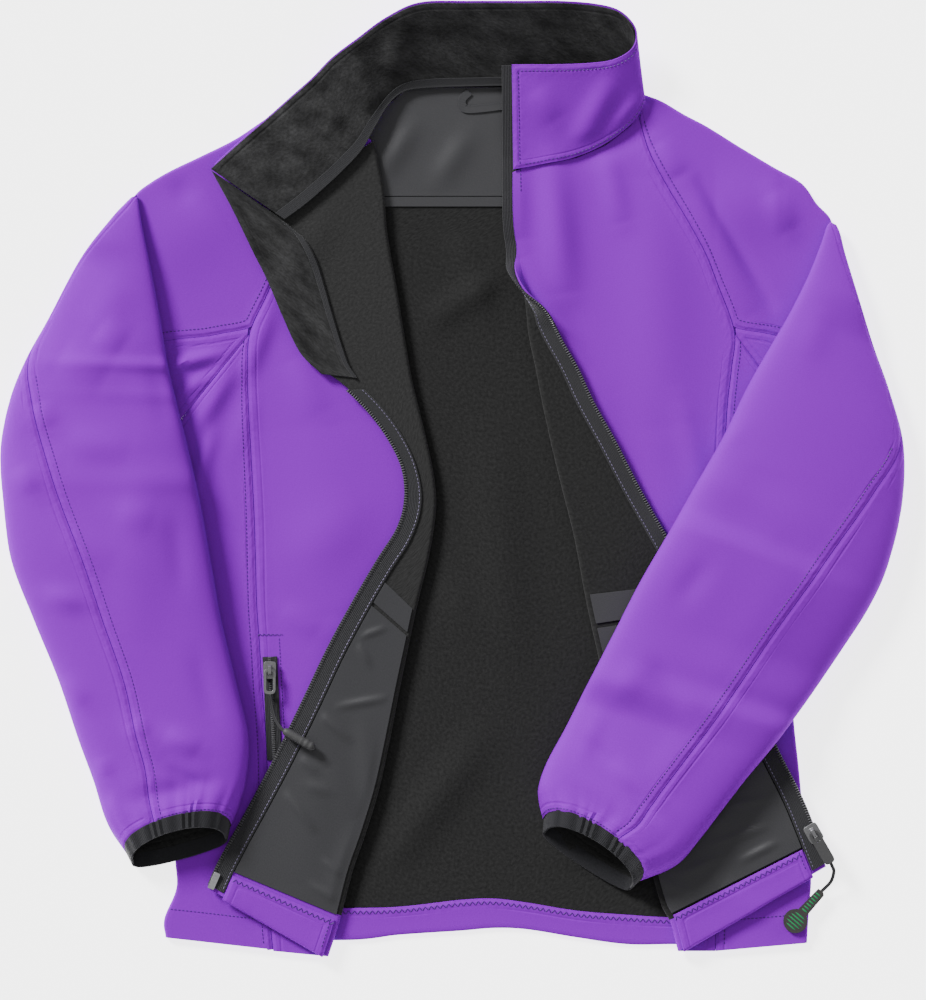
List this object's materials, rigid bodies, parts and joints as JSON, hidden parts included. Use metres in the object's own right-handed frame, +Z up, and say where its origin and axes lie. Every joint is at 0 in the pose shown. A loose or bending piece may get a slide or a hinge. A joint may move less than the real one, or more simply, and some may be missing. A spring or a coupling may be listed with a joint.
{
  "type": "softshell jacket",
  "caption": "Softshell zip jacket with a stand collar, laid open with both fronts turned back and the sleeves folded in over the body.",
  "frame": {"origin": "middle of the laid garment's box, cords left out, on the surface it lies on", "axes": "+X to the right of the picture, +Y towards the collar, +Z up from the surface"},
  "size_m": [0.6714, 0.7104, 0.036],
  "materials": {
    "softshell": "smooth matt three-layer softshell, violet",
    "fleece": "short charcoal fleece",
    "pocket_cloth": "charcoal woven lining cloth with a slight sheen",
    "binding": "near-black elastic binding and zip tape",
    "zip_metal": "dark painted die-cast zip parts",
    "cord": "braided dark cord",
    "pull_rubber": "moulded grey rubber",
    "pin_steel": "bright zip pin"
  },
  "bodies": {
    "garment": {"back_panel": "fleece", "back_hem": "softshell", "back_neck_facing": "pocket_cloth", "facing_band": "pocket_cloth", "hanger_loop": "pocket_cloth", "collar_shell": "softshell", "collar_lining": "fleece", "neck_tape": "pocket_cloth", "front_left": "softshell", "side_left": "softshell", "shoulder_left": "softshell", "sleeve_head_left": "softshell", "sleeve_back_left": "softshell", "sleeve_front_left": "softshell", "cuff_left": "binding", "front_right": "softshell", "side_right": "softshell", "shoulder_right": "softshell", "sleeve_head_right": "softshell", "sleeve_back_right": "softshell", "sleeve_front_right": "softshell", "cuff_right": "binding", "zip_guard_left": "fleece", "zip_tape_left": "binding", "pocket_band_left": "pocket_cloth", "pocket_bag_left": "pocket_cloth", "front_hem_left": "softshell", "zip_tape_right": "binding", "pocket_band_right": "pocket_cloth", "pocket_bag_right": "pocket_cloth", "front_hem_right": "softshell", "pocket_zip_left": "binding", "pocket_slider": "zip_metal", "main_slider": "zip_metal", "zip_pin_left": "pin_steel"},
    "pocket_pull": {"pocket_tab": "zip_metal", "pocket_cord": "cord", "pocket_cord_end": "pull_rubber"},
    "main_pull": {"main_tab": "pull_rubber", "tag_cord": "cord", "tag": "pull_rubber"}
  },
  "joints": [
    {"name": "pocket_pull_hinge", "type": "hinge", "parent": "garment", "child": "pocket_pull", "pos_m": [-0.136, -0.1417, 0.0114], "axis": [-1, 0, 0], "range_deg": [0, 120]},
    {"name": "main_pull_hinge", "type": "hinge", "parent": "garment", "child": "main_pull", "pos_m": [0.268, -0.2627, 0.016], "axis": [-0.866, -0.5, 0], "range_deg": [0, 120]}
  ]
}
